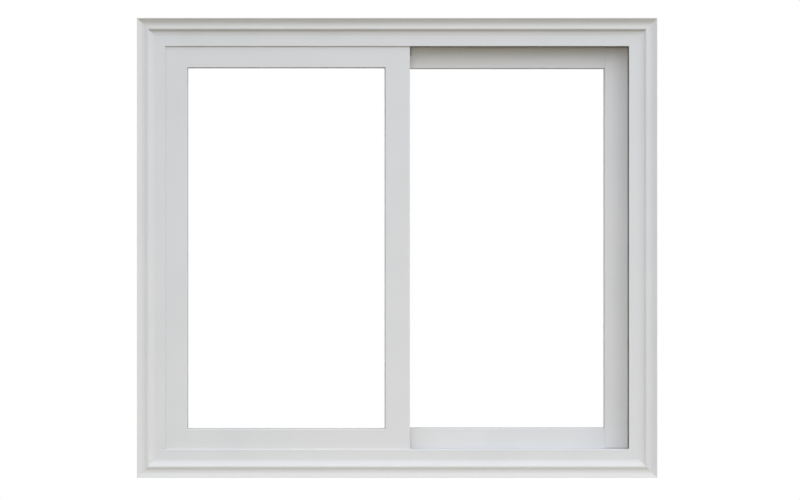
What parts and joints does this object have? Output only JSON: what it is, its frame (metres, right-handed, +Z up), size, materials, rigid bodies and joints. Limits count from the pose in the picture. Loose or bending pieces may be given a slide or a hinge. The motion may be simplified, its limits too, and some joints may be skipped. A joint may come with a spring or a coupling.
{
  "type": "sliding window",
  "caption": "White uPVC double-glazed horizontal sliding window with moulded outer frame, outer sash on the left and inner sash on the right, shown closed.",
  "frame": {"origin": "middle of the back face of the sill's wall flange, on the wall plane", "axes": "+X to the right as seen from outdoors, +Y from outdoors to indoors, +Z up"},
  "size_m": [1.2, 0.097, 1.0599],
  "materials": {
    "upvc": "satin extruded uPVC",
    "glass": "clear float glass",
    "track": "mill-finish extruded aluminium",
    "spacer": "roll-formed aluminium",
    "sealant": "matt black edge sealant",
    "gasket": "matt co-extruded gasket",
    "pile": "woven pile",
    "packer": "moulded",
    "roller": "moulded acetal",
    "housing": "zinc-plated pressing"
  },
  "bodies": {
    "root": {"frame_head": "upvc", "frame_sill": "upvc", "frame_jamb_left": "upvc", "frame_jamb_right": "upvc", "outer_track_rail": "track", "inner_track_rail": "track", "head_seal_strips": "pile", "jamb_seal_strips": "pile", "top_dust_block": "pile", "bottom_dust_block": "pile", "outer_sash_top_rail": "upvc", "outer_sash_bottom_rail": "upvc", "outer_sash_jamb_stile": "upvc", "outer_sash_meeting_stile": "upvc", "outer_sash_outside_pane": "glass", "outer_sash_inside_pane": "glass", "outer_sash_edge_sealant": "sealant", "outer_sash_spacer_bar": "spacer", "outer_sash_glazing_gasket": "gasket", "outer_sash_setting_blocks": "packer", "outer_sash_glazing_beads": "upvc", "outer_sash_interlock": "upvc", "outer_sash_rollers": "roller", "outer_sash_roller_housings": "housing", "outer_sash_pull": "upvc", "outer_sash_latch_thumb": "upvc", "outer_sash_bottom_seal": "pile", "inner_sash_top_rail": "upvc", "inner_sash_bottom_rail": "upvc", "inner_sash_jamb_stile": "upvc", "inner_sash_meeting_stile": "upvc", "inner_sash_outside_pane": "glass", "inner_sash_inside_pane": "glass", "inner_sash_edge_sealant": "sealant", "inner_sash_spacer_bar": "spacer", "inner_sash_glazing_gasket": "gasket", "inner_sash_setting_blocks": "packer", "inner_sash_glazing_beads": "upvc", "inner_sash_interlock": "upvc", "inner_sash_rollers": "roller", "inner_sash_roller_housings": "housing", "inner_sash_pull": "upvc", "inner_sash_latch_thumb": "upvc", "inner_sash_bottom_seal": "pile"}
  },
  "joints": []
}
